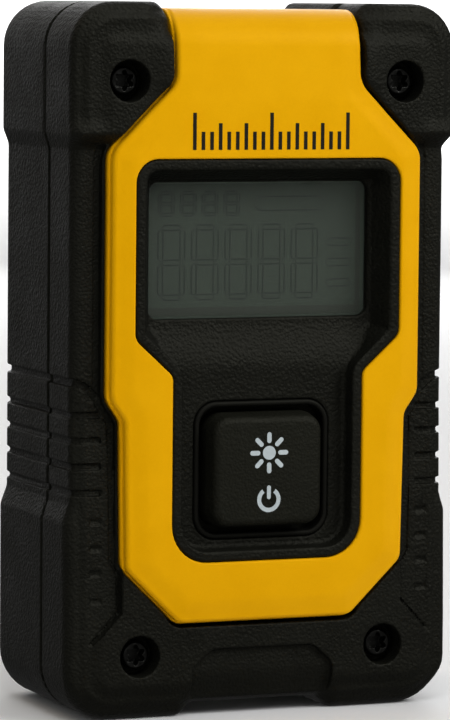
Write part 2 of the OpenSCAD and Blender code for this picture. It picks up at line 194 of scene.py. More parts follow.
def box(x, y, z, low, high, r=0.1):
    """Signed distance to a box with rounded edges."""
    q = [np.maximum(a - v, v - b) + r for v, a, b in zip((x, y, z), low, high)]
    outside = np.sqrt(sum(np.maximum(v, 0) ** 2 for v in q))
    return outside + np.minimum(np.maximum(np.maximum(q[0], q[1]), q[2]), 0) - r


def rod(a, b, ca, cb, r):
    return np.hypot(a - ca, b - cb) - r


CASE = Outline(CASE_CORNERS)
REAR = Outline(REAR_CORNERS)
COVER = Outline(COVER_CORNERS)
OPENING = Outline(OPENING_CORNERS)
RECESS = Outline(RECESS_CORNERS)


# ---------- meshing ----------

def surface_points(f, low, high, step):
    """Surface nets: one point for each grid cell that the surface passes through, pulled onto the surface."""
    axes = [np.arange(a - 1.5 * s, b + 2.5 * s, s) for a, b, s in zip(low, high, step)]
    shape = [a.size for a in axes]
    value = np.broadcast_to(f(axes[0][:, None, None], axes[1][None, :, None], axes[2][None, None, :]), shape)
    value = value.astype(np.float32)
    cells = np.array(shape) - 1
    strides = np.array([cells[1] * cells[2], cells[2], 1])
    points, quads = [], []
    for axis in range(3):
        along = [slice(None)] * 3
        first, second = list(along), list(along)
        first[axis], second[axis] = slice(0, -1), slice(1, None)
        a, b = value[tuple(first)], value[tuple(second)]
        found = np.argwhere((a < 0) != (b < 0))
        va, vb = a[tuple(found.T)], b[tuple(found.T)]
        p = np.stack([axes[k][found[:, k]] for k in range(3)], 1)
        p[:, axis] += step[axis] * va / (va - vb)
        u, v = (axis + 1) % 3, (axis + 2) % 3
        corner = found @ strides
        ring = np.stack([corner - strides[u] - strides[v], corner - strides[v], corner,
                         corner - strides[u]], 1)
        ring[va >= 0] = ring[va >= 0][:, ::-1]
        points.append(p)
        quads.append(ring)
    points, quads = np.concatenate(points), np.concatenate(quads)
    used, index = np.unique(quads, return_inverse=True)
    index = index.reshape(quads.shape)
    count = np.bincount(index.ravel(), minlength=used.size)
    middle = np.stack([np.bincount(index.ravel(), weights=np.repeat(points[:, k], 4), minlength=used.size)
                       for k in range(3)], 1) / count[:, None]
    for _ in range(3):
        distance, slope = f(*middle.T), gradient(f, middle)
        size = np.maximum((slope ** 2).sum(1), 0.2)
        move = -slope * (distance / size)[:, None]
        length = np.linalg.norm(move, axis=1)
        limit = 0.4 * min(step)
        middle += move * np.minimum(1, limit / np.maximum(length, 1e-9))[:, None]
    return middle, index


def gradient(f, p, eps=0.015):
    sides = []
    for k in range(3):
        d = np.zeros(3)
        d[k] = eps
        sides.append((f(*(p + d).T) - f(*(p - d).T)) / (2 * eps))
    return np.stack(sides, 1)


def solid(name, f, low, high, step, flat_angle=0.35):
    """A mesh object of the solid where f is negative, with its flats merged and its normals taken from f."""
    step = np.full(3, step) if np.isscalar(step) else np.array(step, float)
    points, quads = surface_points(f, low, high, step)
    mesh = bpy.data.meshes.new(name)
    mesh.from_pydata((points * MM).tolist(), [], quads.tolist())
    work = bmesh.new()
    work.from_mesh(mesh)
    bmesh.ops.dissolve_degenerate(work, dist=1e-7, edges=work.edges)
    bmesh.ops.dissolve_limit(work, angle_limit=math.radians(flat_angle), verts=work.verts, edges=work.edges)
    work.to_mesh(mesh)
    work.free()
    mesh.validate()
    smooth_normals(mesh, f)
    made = bpy.data.objects.new(name, mesh)
    bpy.context.scene.collection.objects.link(made)
    return made


def smooth_normals(mesh, f, sharp=math.cos(math.radians(38))):
    """Loop normals from the slope of f, or from the face where the edge is sharp."""
    co = np.zeros(len(mesh.vertices) * 3)
    mesh.vertices.foreach_get("co", co)
    slope = gradient(f, co.reshape(-1, 3) / MM)
    slope /= np.maximum(np.linalg.norm(slope, axis=1), 1e-9)[:, None]
    loops = np.zeros(len(mesh.loops), int)
    mesh.loops.foreach_get("vertex_index", loops)
    starts, totals = np.zeros(len(mesh.polygons), int), np.zeros(len(mesh.polygons), int)
    mesh.polygons.foreach_get("loop_start", starts)
    mesh.polygons.foreach_get("loop_total", totals)
    faces = np.zeros(len(mesh.polygons) * 3)
    mesh.polygons.foreach_get("normal", faces)
    faces = np.repeat(faces.reshape(-1, 3), totals, axis=0)
    normals = slope[loops]
    hard = (normals * faces).sum(1) < sharp
    normals[hard] = faces[hard]
    mesh.polygons.foreach_set("use_smooth", np.ones(len(mesh.polygons), bool))
    mesh.normals_split_custom_set(normals.tolist())


# ---------- the two shells ----------

def front_face(ax, z):
    """Y of the front of the black case."""
    t = -rect(ax, z, 0, 38, 22.1, 38, 4.9)
    y = BAR_Y + (TOP_BUMPER_Y - BAR_Y) * ramp(z, 60.4, 62.4)
    # A shallow valley, a low ridge and a slope run round the outer edges of each top bumper
    rim = ramp(z, 62.2, 64.0)
    y = y + rim * (0.3 * ramp(t, 4.6, 3.0) + 0.25 * bell(t, 1.0, 0.5) - 0.08 * bell(t, 1.8, 0.4))
    # Next to the neck of the cover the bumper stands a little higher, and falls back over the top end
    rise = np.clip(z - 69.2, 0, 6.5)
    y = y + (14 - np.sqrt(196 - rise ** 2) - 0.4 * ramp(z, 65.5, 68)) * ramp(ax, 14.2, 11.3)
    panel = BAR_Y - 0.7 * np.clip((34 - z) / 25, 0, 1)
    low = LOW_BUMPER_Y + 0.65 * ramp(t, 4.0, 2.1)
    inside = np.minimum(ax - 16.3, (ax + z - 27.8) / math.sqrt(2))
    low = low + (np.maximum(panel, low) - low) * ramp(inside, -0.2, 0.2)
    low = low + 0.14 * bell(t, 1.35, 0.45) - 0.09 * bell(t, 2.1, 0.4)
    return np.where(z < 34, low, y)


def line_distance(ax, z, line):
    return np.minimum.reduce([segment_distance(ax, z, a, b) for a, b in zip(line[:-1], line[1:])])


def notch_cuts(f, z):
    """Signed distance to the four notches of the side grip, which follow the surface where f is 0."""
    nearest = np.minimum.reduce([np.abs(z - notch) for notch in NOTCHES])
    return both(nearest - NOTCH_HALF, -NOTCH_DEPTH - f, 0.12)


def screw_holes(x, z):
    """Distance to the axis of the nearest case screw."""
    ax = np.abs(x)
    upper, lower = SCREWS[1], SCREWS[3]
    return np.where(z > 40, rod(ax, z, *upper, 0), rod(ax, z, *lower, 0))


def front_shell(x, y, z):
    ax = np.abs(x)
    outline = CASE(x, z)
    face = front_face(ax, z)
    for dash in GRIP_DASHES:
        dent = 0.18 * np.clip(1 - ((z - dash) / 0.4) ** 2, 0, 1)
        face = face + dent * (1 - ramp(np.abs(ax - 18.9), 0.5, 0.8))
    edge = 1.5 - 0.3 * ramp(z, 22, 24) * ramp(z, 61, 59) + 1.1 * ramp(z, 4.5, 1.5)
    body = both(outline, face - y, edge)
    # Ridge that frames the cover beside the bars, with a shallow channel along its foot
    out = COVER(x, z)
    ridge = both(both(out - 0.48, RIDGE_Y - y, 0.14), np.abs(z - 39) - 22.5, 0.2)
    ridge = both(ridge, y + 8, 0.1)
    f = both(body, y - FRONT_SEAM_Y, 0.12)
    f = cut(f, both(notch_cuts(body, z), 18.2 - ax, 0.12), 0.1)
    f = cut(f, both(line_distance(ax, z, GROOVE_LINE) - GROOVE_HALF, -GROOVE_DEPTH - body, 0.12), 0.12)
    channel = both(np.abs(out - 0.7) - 0.5, np.abs(z - 38.9) - 22.1, 0.2)
    f = cut(f, both(channel, -0.2 - body, 0.1), 0.1)
    f = join(f, ridge, 0.08)
    # Fine line along the edge of the bottom bumper
    f = cut(f, both(line_distance(ax, z, STEP_LINE) - 0.18, -0.3 - body, 0.08), 0.08)
    # Shallow step in the middle of the foot
    depth = LOW_BUMPER_Y + 0.55 + 0.9 * ramp(z, 5.2, 1.5)
    f = cut(f, both(RECESS(x, z), y - depth, 0.25), 0.15)
    # Pocket for the coloured cover
    gap = 0.14 + 0.2 * ramp(z, 11.4, 10.4)
    pocket = both(out - gap, y - SEAT_Y, 0.15)
    f = cut(f, pocket, 0.2 + 0.1 * ramp(z, 61, 64))
    flange = both(ax - 10.95, -both(SEAT_Y + 0.05 - y, z - 73.75, 4.5), 0.05)
    flange = both(flange, 69 - z, 0.05)
    f = cut(f, flange, 0.2)
    f = cut(f, both(OPENING(x, z) - 0.9, y - FRONT_WALL_Y - 1, 0.1), 0.1)
    f = cut(f, both(rect(x, z, 0, 37.45, 19.7, 34.55, 3.2), FRONT_WALL_Y - y, 0.3), 0.1)
    screws = screw_holes(x, z)
    boss = both(both(screws - 3.1, y - FRONT_SEAM_Y, 0.1), SEAT_Y + 0.6 - y, 0.1)
    f = join(f, boss, 0.2)
    f = cut(f, both(screws - COUNTERBORE_R, y + 8.4, 0.15), 0.2)
    return np.maximum(f, 1.1 - screws)


def rear_shell(x, y, z):
    ax = np.abs(x)
    outline = REAR(x, z)
    body = both(outline, y - BACK_Y, 3.15 - 0.25 * (ramp(z, 60.4, 62.4) + ramp(z, 23.4, 21.2)))
    f = both(body, REAR_SEAM_Y - y, 0.12)
    f = cut(f, both(notch_cuts(body, z), 19 - ax, 0.3), 0.1)
    groove = both(np.abs(z - GROOVE_Z) - GROOVE_HALF, -GROOVE_DEPTH - body, 0.12)
    f = cut(f, both(groove, 19 - ax, 0.3), 0.12)
    f = cut(f, both(rect(x, z, 0, 37.65, 19.7, 34.75, 3.2), y - BACK_Y + 1.8, 0.3), 0.1)
    screws = screw_holes(x, z)
    f = join(f, both(both(screws - 2.6, REAR_SEAM_Y - y, 0.1), y - BACK_Y + 1.5, 0.1), 0.2)
    f = join(f, box(x, y, z, (18.3, -2, 44.2), (21, 6.8, 59.3)), 0.1)
    f = cut(f, both(screws - 1.03, y - 7, 0.1), 0.1)
    f = cut(f, box(x, y, z, (20.0, -1.8, 45.7), (23, 3.4, 57.8), 0.05), 0.2)
    f = cut(f, box(x, y, z, (19.7, 3.3, 45.7), (23, 5.75, 57.8), 0.05), 0.1)
    f = cut(f, box(x, y, z, (15, -1.3, 47.75), (21, 1.7, 55.75), 0.3), 0.1)
    f = cut(f, both(both(rod(x, y, PIN_X, PIN_Y, 0.32), z - 58.85, 0.01), 44.65 - z, 0.01), 0.02)
    f = cut(f, box(x, y, z, (-8.8, -0.9, 71.4), (8.8, 8.5, 77), 0.1), 0.1)
    f = cut(f, box(x, y, z, (-9.7, -1.6, 74.2), (9.7, 9.1, 77), 0.1), 0.15)
    return cut(f, both(rect(x, z, 0, 37, 12.1, 13.1, 1.1), BACK_Y - 0.3 - y, 0.02), 0.08)


# ---------- cover, bezel and button ----------

def cover_face(x, z):
    """Y of the raised face of the cover, crowned towards the display and falling back above the crease."""
    t = -COVER(x, z)
    crown = (0.42 - 0.3 * ramp(z, 64, 68)) * (1 - ramp(t, 0.3, 2.9))
    return COVER_Y + crown + 0.085 * np.maximum(z - 65.6, 0)


def cover_shell(x, y, z):
    outline = COVER(x, z)
    ledge = both(outline, both(LEDGE_Y - y, z - COVER_TOP, 3.6), 0.12)
    raised = both(outline + 0.25, both(cover_face(x, z) - y, z - COVER_TOP, 4.0), 0.45)
    f = join(ledge, raised, 0.08)
    f = cut(f, both(SEAT_Y - y, z - 73.8, 4.5), 0.02)
    f = cut(f, OPENING(x, z), 0.22)
    return both(f, y - np.where(z > 69.3, FRONT_SEAM_Y, SEAT_Y), 0.05)


def bezel(x, y, z):
    opening = OPENING(x, z)
    body = both(both(opening + 0.05, COVER_Y + 0.1 - y, 0.3), y + 8.3, 0.05)
    foot = both(both(opening - 0.8, SEAT_Y - y, 0.05), y + 8.3, 0.05)
    f = np.minimum(body, foot)
    upper = ramp(z, 38.5, 41.5)
    wall = 1.15 + (0.06 + 0.36 * upper) * (y - COVER_Y - 0.1)
    floor = FLOOR_Y + 1.15 * ramp(z, 37.0, 42.6)
    f = cut(f, both(opening + wall, y - floor, 0.5), 0.25)
    window = rect(x, z, 0, 49.725, 12.5, 7.125, 0.9)
    f = cut(f, both(window - 0.12 - 0.4 * np.maximum(LCD_Y - 0.1 - y, 0), y + 8, 0.05), 0.1)
    return cut(f, rect(x, z, 0, BUTTON_Z, 7.8, 7.4, 2.6), 0.22)


def cap_front(x, z):
    """Y of the front of the button cap, which falls back a little towards its corners."""
    return CAP_Y + 0.12 * (1 - np.exp(-(np.hypot(x, z - BUTTON_Z) / 9) ** 4))


def button_cap(x, y, z):
    outline = rect(x, z, 0, BUTTON_Z, 6.5, 6.15, 2.1) + 0.2 * np.clip(-10.4 - y, 0, 2.2)
    f = both(both(outline, cap_front(x, z) - y, 0.65), y + 8.0, 0.05)
    flange = both(np.abs(y + 7.7) - 0.4, rect(x, z, 0, BUTTON_Z, 8.7, 8.0, 2.6), 0.1)
    stem = both(both(rod(x, z, 0, BUTTON_Z, 1.3), y + 5.9, 0.2), -8.0 - y, 0.1)
    return np.minimum(np.minimum(f, flange), stem)


def seal_bead(x, y, z):
    ring = np.abs(rect(x, z, 0, BUTTON_Z, 7.45, 7.05, 2.25)) - 0.3
    return both(both(ring, -10.45 - y, 0.28), y + 8.4, 0.05)


def case_screw(x, y, z):
    r = np.hypot(x, z)
    head = both(both(r - SCREW_HEAD_R, -10.0 - y, 0.3), y + 8.4, 0.05)
    angle = np.arctan2(x, z)
    lobes = 0.9 + 0.19 * np.cos(6 * angle)
    head = cut(head, both(r - lobes, y + 8.8, 0.1), 0.1)
    return np.minimum(head, both(both(r - SCREW_SHANK_R, y - 6.0, 0.3), -8.6 - y, 0.01))


def port_flap(x, y, z):
    f = box(x, y, z, (20.3, -1.5, 46), (21.5, 4.4, 57.5), 0.25)
    for rib in (-0.7, 0.0, 0.7):
        f = cut(f, both(rod(x, y, 21.62, rib + 0.9, 0.22), np.abs(z - PORT_Z) - 3.2, 0.1), 0.05)
    roll = both(rod(x, y, PIN_X, PIN_Y, 0.75), np.abs(z - PORT_Z) - 5.75, 0.15)
    f = join(f, roll, 0.1)
    f = join(f, box(x, y, z, (19.1, -0.6, 48.75), (20.75, 0.95, 54.75), 0.15), 0.1)
    return np.maximum(f, -rod(x, y, PIN_X, PIN_Y, 0.34))


def end_bezel(x, y, z):
    f = box(x, y, z, (-9.6, -1.5, 74.2), (9.6, 9, 75.1), 0.2)
    f = np.minimum(f, box(x, y, z, (-8.7, -0.8, 73), (8.7, 8.4, 74.3), 0.1))
    lens = rod(x, y, LENS_X, LENS_Y, 0)
    laser = rod(x, y, LASER_X, LASER_Y, 0)
    f = cut(f, lens - LENS_R - 0.35 * np.maximum(z - 74.5, 0), 0.15)
    f = cut(f, laser - LASER_R - 0.6 * np.maximum(z - 74.5, 0), 0.15)
    for r in (2.6, 3.2):
        f = cut(f, both(np.abs(laser - r) - 0.08, 74.95 - z, 0.03), 0.04)
    return f


# ---------- materials ----------

def new_material(name, roughness, **sockets):
    material = bpy.data.materials.new(name)
    material.use_nodes = True
    tree = material.node_tree
    shader = tree.nodes["Principled BSDF"]
    shader.inputs["Roughness"].default_value = roughness
    for key, value in sockets.items():
        shader.inputs[key.replace("_", " ")].default_value = value
    return material, tree, shader


def add(tree, kind, **values):
    node = tree.nodes.new(kind)
    for key, value in values.items():
        if key in node.inputs:
            node.inputs[key].default_value = value
        else:
            setattr(node, key, value)
    return node


def object_mm(tree):
    """Object coordinates in mm."""
    place = add(tree, "ShaderNodeTexCoord")
    scale = add(tree, "ShaderNodeVectorMath", operation="SCALE")
    scale.inputs["Scale"].default_value = 1000
    tree.links.new(place.outputs["Object"], scale.inputs[0])
    return scale.outputs[0]


def noise(tree, where, scale, detail=3, roughness=0.55):
    node = add(tree, "ShaderNodeTexNoise", Scale=scale, Detail=detail, Roughness=roughness)
    tree.links.new(where, node.inputs["Vector"])
    return node.outputs["Fac"]


def cells(tree, where, scale, feature="SMOOTH_F1"):
    node = add(tree, "ShaderNodeTexVoronoi", feature=feature, Scale=scale)
    tree.links.new(where, node.inputs["Vector"])
    return node.outputs["Distance"]


def blend(tree, factor, low, high, low_at=0.0, high_at=1.0):
    node = add(tree, "ShaderNodeValToRGB")
    node.color_ramp.elements[0].position = low_at
    node.color_ramp.elements[1].position = high_at
    node.color_ramp.elements[0].color = (*low, 1)
    node.color_ramp.elements[1].color = (*high, 1)
    tree.links.new(factor, node.inputs["Fac"])
    return node.outputs["Color"]


def remap(tree, value, low, high, to_low, to_high):
    node = add(tree, "ShaderNodeMapRange")
    for k, v in zip(("From Min", "From Max", "To Min", "To Max"), (low, high, to_low, to_high)):
        node.inputs[k].default_value = v
    tree.links.new(value, node.inputs["Value"])
    return node.outputs["Result"]


def sum_of(tree, parts):
    """Sum of (output, weight) pairs."""
    total = None
    for output, weight in parts:
        node = add(tree, "ShaderNodeMath", operation="MULTIPLY_ADD")
        tree.links.new(output, node.inputs[0])
        node.inputs[1].default_value = weight
        if total is None:
            node.inputs[2].default_value = 0
        else:
            tree.links.new(total, node.inputs[2])
        total = node.outputs[0]
    return total


def bump(tree, shader, height, strength, distance_mm):
    node = add(tree, "ShaderNodeBump", Strength=strength)
    node.inputs["Distance"].default_value = distance_mm * MM
    tree.links.new(height, node.inputs["Height"])
    tree.links.new(node.outputs["Normal"], shader.inputs["Normal"])


def plastic(name, low, high, roughness, grain, strength, depth, spread=0.1, **sockets):
    """Moulded plastic or rubber: cell grain in the surface, patchy colour and gloss.

    grain is in cells per mm, depth is the height of the bump in mm, and spread is how much the gloss varies.
    """
    material, tree, shader = new_material(name, roughness, **sockets)
    where = object_mm(tree)
    patches = noise(tree, where, 0.22, 4)
    fine = noise(tree, where, grain * 1.7, 4, 0.6)
    creases = cells(tree, where, grain)
    tone = sum_of(tree, [(patches, 0.6), (fine, 0.4)])
    tree.links.new(blend(tree, tone, low, high, 0.3, 0.7), shader.inputs["Base Color"])
    gloss = remap(tree, tone, 0.3, 0.7, roughness - spread, roughness + spread)
    tree.links.new(gloss, shader.inputs["Roughness"])
    height = sum_of(tree, [(creases, 0.9), (fine, 0.5)])
    bump(tree, shader, height, strength, depth)
    return material


def metal(name, low, high, roughness, **sockets):
    material, tree, shader = new_material(name, roughness, Metallic=1.0, **sockets)
    where = object_mm(tree)
    tone = noise(tree, where, 1.6, 4)
    tree.links.new(blend(tree, tone, low, high, 0.3, 0.7), shader.inputs["Base Color"])
    tree.links.new(remap(tree, tone, 0.3, 0.7, roughness - 0.08, roughness + 0.1), shader.inputs["Roughness"])
    bump(tree, shader, noise(tree, where, 9, 3), 0.2, 0.03)
    return material


def clear(name, colour, alpha, roughness, gloss=0.5):
    """Clear sheet or lens with faint smears in its gloss."""
    material, tree, shader = new_material(name, roughness, Alpha=alpha, Specular_IOR_Level=gloss)
    where = object_mm(tree)
    smear = noise(tree, where, 0.5, 4)
    dark = tuple(c * 0.85 for c in colour)
    tree.links.new(blend(tree, smear, dark, colour, 0.3, 0.7), shader.inputs["Base Color"])
    tree.links.new(remap(tree, smear, 0.3, 0.7, roughness, roughness + 0.12), shader.inputs["Roughness"])
    return material


def board(name, low, high):
    """Solder mask over a maze of copper tracks."""
    material, tree, shader = new_material(name, 0.35)
    where = object_mm(tree)
    tracks = add(tree, "ShaderNodeTexBrick", Scale=0.35)
    tracks.inputs["Mortar Size"].default_value = 0.06
    tree.links.new(where, tracks.inputs["Vector"])
    tone = sum_of(tree, [(tracks.outputs["Fac"], 0.6), (noise(tree, where, 0.8, 4), 0.5)])
    tree.links.new(blend(tree, tone, low, high, 0.2, 0.8), shader.inputs["Base Color"])
    bump(tree, shader, tracks.outputs["Fac"], 0.3, 0.05)
    return material


BLACK_LOW, BLACK_HIGH = (0.0045, 0.0046, 0.0034), (0.0075, 0.0076, 0.0056)
BLACK_GLOSS = {"Specular_IOR_Level": 0.14, "Specular_Tint": (1.0, 0.99, 0.82, 1.0)}
YELLOW_GLOSS = {"Specular_IOR_Level": 0.25, "Specular_Tint": (1.0, 0.6, 0.03, 1.0)}

looks = {
    "black_case": plastic("black_case", BLACK_LOW, BLACK_HIGH, 0.5, 3.2, 0.8, 0.14, **BLACK_GLOSS),
    "cover_yellow": plastic("cover_yellow", (0.77, 0.37, 0.001), (0.83, 0.41, 0.002), 0.42, 3.0, 0.16, 0.03,
                            0.05, **YELLOW_GLOSS),
    "bezel_black": plastic("bezel_black", BLACK_LOW, BLACK_HIGH, 0.5, 3.2, 0.8, 0.14, **BLACK_GLOSS),
    "button_black": plastic("button_black", (0.0062, 0.0064, 0.0042), (0.0092, 0.0094, 0.0064), 0.55, 3.4,
                            0.8, 0.1, **BLACK_GLOSS),
    "seal_rubber": plastic("seal_rubber", (0.003, 0.003, 0.0025), (0.005, 0.005, 0.004), 0.6, 4.5, 0.25, 0.03,
                           **BLACK_GLOSS),
    "screw_black": metal("screw_black", (0.02, 0.02, 0.018), (0.045, 0.045, 0.042), 0.32),
    "steel": metal("steel", (0.5, 0.5, 0.5), (0.62, 0.62, 0.62), 0.3),
    "brass": metal("brass", (0.66, 0.46, 0.17), (0.78, 0.58, 0.26), 0.28),
    "display_clear": clear("display_clear", (0.05, 0.06, 0.05), 0.2, 0.2, 0.2),
    "lens_glass": clear("lens_glass", (0.3, 0.35, 0.5), 0.3, 0.05),
    "white_plastic": plastic("white_plastic", (0.66, 0.66, 0.6), (0.76, 0.76, 0.72), 0.45, 3.0, 0.15, 0.03),
    "strip_rubber": plastic("strip_rubber", (0.42, 0.1, 0.15), (0.52, 0.16, 0.22), 0.6, 4.0, 0.2, 0.03),
    "board_green": board("board_green", (0.012, 0.09, 0.035), (0.03, 0.17, 0.07)),
    "chip_black": plastic("chip_black", (0.015, 0.015, 0.015), (0.028, 0.028, 0.028), 0.45, 6.0, 0.2, 0.02),
    "cell_wrap": plastic("cell_wrap", (0.07, 0.2, 0.38), (0.12, 0.28, 0.5), 0.35, 1.2, 0.12, 0.04),
    "foam_grey": plastic("foam_grey", (0.07, 0.07, 0.07), (0.13, 0.13, 0.13), 0.85, 2.2, 0.8, 0.15),
    "lead_red": plastic("lead_red", (0.42, 0.012, 0.01), (0.55, 0.025, 0.02), 0.5, 3.0, 0.1, 0.02),
    "lead_black": plastic("lead_black", (0.014, 0.014, 0.014), (0.024, 0.024, 0.024), 0.5, 3.0, 0.1, 0.02),
    "block_grey": plastic("block_grey", (0.09, 0.09, 0.095), (0.14, 0.14, 0.145), 0.5, 2.5, 0.3, 0.04),
    "flex_amber": plastic("flex_amber", (0.42, 0.17, 0.02), (0.55, 0.26, 0.05), 0.35, 1.5, 0.08, 0.02),
    "plate_grey": plastic("plate_grey", (0.3, 0.3, 0.3), (0.38, 0.38, 0.38), 0.4, 5.0, 0.08, 0.02),
}


def lcd_panel_look():
    """Grey green liquid crystal glass."""
    material, tree, shader = new_material("display_panel", 0.45)
    where = object_mm(tree)
    tone = sum_of(tree, [(noise(tree, where, 0.12, 3), 0.7), (noise(tree, where, 1.4, 2), 0.3)])
    tree.links.new(blend(tree, tone, (0.064, 0.085, 0.063), (0.075, 0.098, 0.073), 0.3, 0.7),
                   shader.inputs["Base Color"])
    bump(tree, shader, noise(tree, where, 6, 2), 0.05, 0.01)
    return material


looks["display_panel"] = lcd_panel_look()


def flat_print(name, low, high, **sockets):
    return plastic(name, low, high, 0.55, 5.0, 0.12, 0.02, 0.04, **sockets)


PRINT_GREY = flat_print("print_grey", (0.44, 0.50, 0.52), (0.50, 0.56, 0.58))
PRINT_BLACK = flat_print("print_black", (0.010, 0.009, 0.006), (0.016, 0.014, 0.010), **BLACK_GLOSS)
SEGMENT_DARK = flat_print("segment_dark", (0.034, 0.046, 0.034), (0.041, 0.054, 0.041))
SEGMENT_BORDER = flat_print("segment_border", (0.055, 0.065, 0.048), (0.062, 0.073, 0.055))

for node_row in frame["record"]["subparts"]:
    shown = nodes[node_row["node"]]
    shown.data.materials.clear()
    shown.data.materials.append(looks[node_row["material_slot"]])


def place(piece, body, slot, replaced=None, material=None):
    piece.data.materials.clear()
    piece.data.materials.append(material or looks[slot])
    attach(piece, body)
    if replaced:
        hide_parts(replaced)
    return piece


# ---------- pieces made from signed distances ----------

place(solid("front_housing_shell", front_shell, (-22.3, -11.8, -0.1), (22.3, -2.9, 76.1), (0.25, 0.25, 0.22)),
      "housing", "black_case", "front_housing")
place(solid("rear_housing_shell", rear_shell, (-22.3, -2.9, -0.1), (22.3, 12.6, 76.1), (0.35, 0.35, 0.25)),
      "housing", "black_case", "rear_housing")
place(solid("front_cover_shell", cover_shell, (-18.1, -12.4, 10.0), (18.1, -2.9, 75.5), 0.2),
      "housing", "cover_yellow", "front_cover")
place(solid("display_bezel_frame", bezel, (-16.2, -12.3, 15.8), (16.2, -8.2, 60.5), 0.2),
      "housing", "bezel_black", "display_bezel")
place(solid("button_seal_bead", seal_bead, (-7.9, -10.7, 18.8), (7.9, -8.3, 33.9), 0.12),
      "housing", "seal_rubber", "button_seal")
place(solid("measure_button_cap", button_cap, (-8.8, -12.6, 18.2), (8.8, -5.8, 34.5), 0.16),
      "button", "button_black", "measure_button")
place(solid("port_cover_flap", port_flap, (19.0, -1.6, 45.9), (21.6, 5.2, 57.6), 0.12),
      "port_door", "button_black", "port_cover")
place(solid("optics_end_bezel", end_bezel, (-9.7, -1.6, 72.9), (9.7, 9.1, 75.2), 0.15),
      "housing", "bezel_black", "optics_bezel")


def screw_set():
    """All four case screws in one mesh."""
    first = solid("housing_screw_set", case_screw, (-1.6, -10.1, -1.6), (1.6, 6.1, 1.6),
                  (0.08, 0.1, 0.08), 1.5)
    single = first.data
    work = bmesh.new()
    for x, z in SCREWS:
        moved = single.copy()
        moved.transform(Matrix.Translation((x * MM, 0, z * MM)))
        work.from_mesh(moved)
        bpy.data.meshes.remove(moved)
    mesh = bpy.data.meshes.new("housing_screw_set")
    work.to_mesh(mesh)
    work.free()
    mesh.polygons.foreach_set("use_smooth", np.ones(len(mesh.polygons), bool))
    mesh.set_sharp_from_angle(angle=math.radians(35))
    first.data = mesh
    bpy.data.meshes.remove(single)
    return first


place(screw_set(), "housing", "screw_black", "housing_screws")


# ---------- prints and display segments ----------

def bar(x0, z0, x1, z1, width, ends=6):
    """A stroke with round ends."""
    angle = math.atan2(z1 - z0, x1 - x0)
    points = []
    for cx, cz, start in ((x1, z1, angle - math.pi / 2), (x0, z0, angle + math.pi / 2)):
        for k in range(ends + 1):
            a = start + math.pi * k / ends
            points.append((cx + width / 2 * math.cos(a), cz + width / 2 * math.sin(a)))
    return points


def arc_band(cx, cz, radius, width, start, end, count=28):
    """A curved stroke, as a list of quads."""
    quads = []
    for k in range(count):
        a, b = (start + (end - start) * v / count for v in (k, k + 1))
        ring = [(cx + r * math.cos(t), cz + r * math.sin(t))
                for r, t in ((radius - width / 2, a), (radius + width / 2, a),
                             (radius + width / 2, b), (radius - width / 2, b))]
        quads.append(ring)
    return quads


def disc(cx, cz, radius, count=32):
    return [(cx + radius * math.cos(2 * math.pi * k / count), cz + radius * math.sin(2 * math.pi * k / count))
            for k in range(count)]


def raised_print(name, shapes, height_at, thickness):
    """Thin raised ink: each shape is a flat outline in X and Z whose back lies at height_at."""
    work = bmesh.new()
    for shape in shapes:
        back = [work.verts.new((x * MM, (height_at(x, z) + 0.01) * MM, z * MM)) for x, z in shape]
        front = [work.verts.new((x * MM, (height_at(x, z) - thickness) * MM, z * MM)) for x, z in shape]
        work.faces.new(front)
        work.faces.new(back[::-1])
        for k in range(len(shape)):
            n = (k + 1) % len(shape)
            work.faces.new((front[k], back[k], back[n], front[n]))
    bmesh.ops.remove_doubles(work, verts=work.verts, dist=1e-8)
    inner = [f for f in work.faces if all(len(e.link_faces) > 2 for e in f.edges)]
    bmesh.ops.delete(work, geom=inner, context="FACES_ONLY")
    bmesh.ops.recalc_face_normals(work, faces=work.faces)
    mesh = bpy.data.meshes.new(name)
    work.to_mesh(mesh)
    work.free()
    made = bpy.data.objects.new(name, mesh)
    bpy.context.scene.collection.objects.link(made)
    return made


burst = [disc(0, BURST_Z, 0.74)]
for spoke in range(8):
    turn = spoke * math.pi / 4
    burst.append(bar(1.28 * math.sin(turn), BURST_Z + 1.28 * math.cos(turn),
                     1.95 * math.sin(turn), BURST_Z + 1.95 * math.cos(turn), 0.5))
place(raised_print("button_burst_print", burst, cap_front, 0.03), "button", "white_plastic",
      material=PRINT_GREY)
power = arc_band(0, POWER_Z, 1.12, 0.46, math.radians(125), math.radians(415))
power.append(bar(0, POWER_Z + 0.25, 0, POWER_Z + 1.3, 0.44))
place(raised_print("button_power_print", power, cap_front, 0.03), "button", "white_plastic",
      material=PRINT_GREY)

TICK_COUNT, TICK_SPAN, TICK_HALF, TICK_Z = 19, 17.6, 0.2, 60.5
ticks = []
for mark in range(TICK_COUNT):
    middle = -TICK_SPAN / 2 + mark * TICK_SPAN / (TICK_COUNT - 1)
    tall = 64.4 if mark % 9 == 0 else (63.3 if mark % 3 == 0 else 62.4)
    left, right = middle - TICK_HALF, middle + TICK_HALF
    ticks.append([(left, TICK_Z), (right, TICK_Z), (right, tall), (left, tall)])
place(raised_print("cover_ruler_ticks", ticks,
                   lambda x, z: float(cover_face(np.array(x), np.array(z))), 0.04),
      "housing", "bezel_black", material=PRINT_BLACK)


